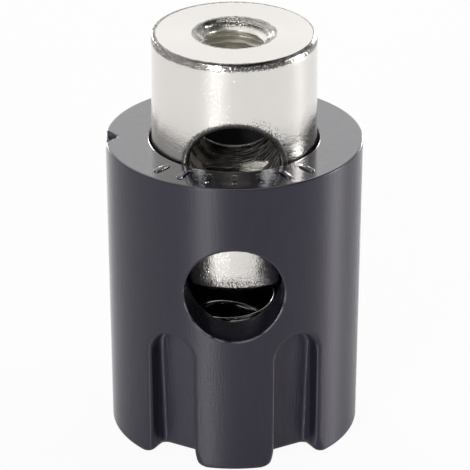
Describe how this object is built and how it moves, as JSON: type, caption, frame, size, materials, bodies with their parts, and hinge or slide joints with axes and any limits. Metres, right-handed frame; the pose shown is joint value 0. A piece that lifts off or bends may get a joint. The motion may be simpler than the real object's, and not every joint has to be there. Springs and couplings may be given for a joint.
{
  "type": "spring push terminal",
  "caption": "Black moulded push cap sliding on a plated metal core with a tapped end; pressing it lines up the cross holes, and a spring then clamps a bare wire or plug.",
  "frame": {"origin": "centre of the cap's closed end, on which the terminal stands at rest", "axes": "+Z along the sliding axis, from the closed end of the cap towards the tapped end of the core; wire holes along Y, front at -Y"},
  "size_m": [0.0144, 0.0144, 0.0239],
  "materials": {
    "core_plating": "satin nickel plating over turned brass",
    "cap_plastic": "satin black moulding",
    "spring_steel": "drawn wire",
    "pin_steel": "ground pin"
  },
  "bodies": {
    "core": {"contact_core": "core_plating", "clamp_spring": "spring_steel"},
    "cap": {"push_cap": "cap_plastic", "guide_pin": "pin_steel"}
  },
  "joints": [
    {"name": "cap_push", "type": "slide", "parent": "core", "child": "cap", "axis": [0, 0, 1], "range_m": [0, 0.0063], "stiffness_N_per_m": 700, "springref_m": -0.0057, "deforming": ["clamp_spring"]}
  ]
}
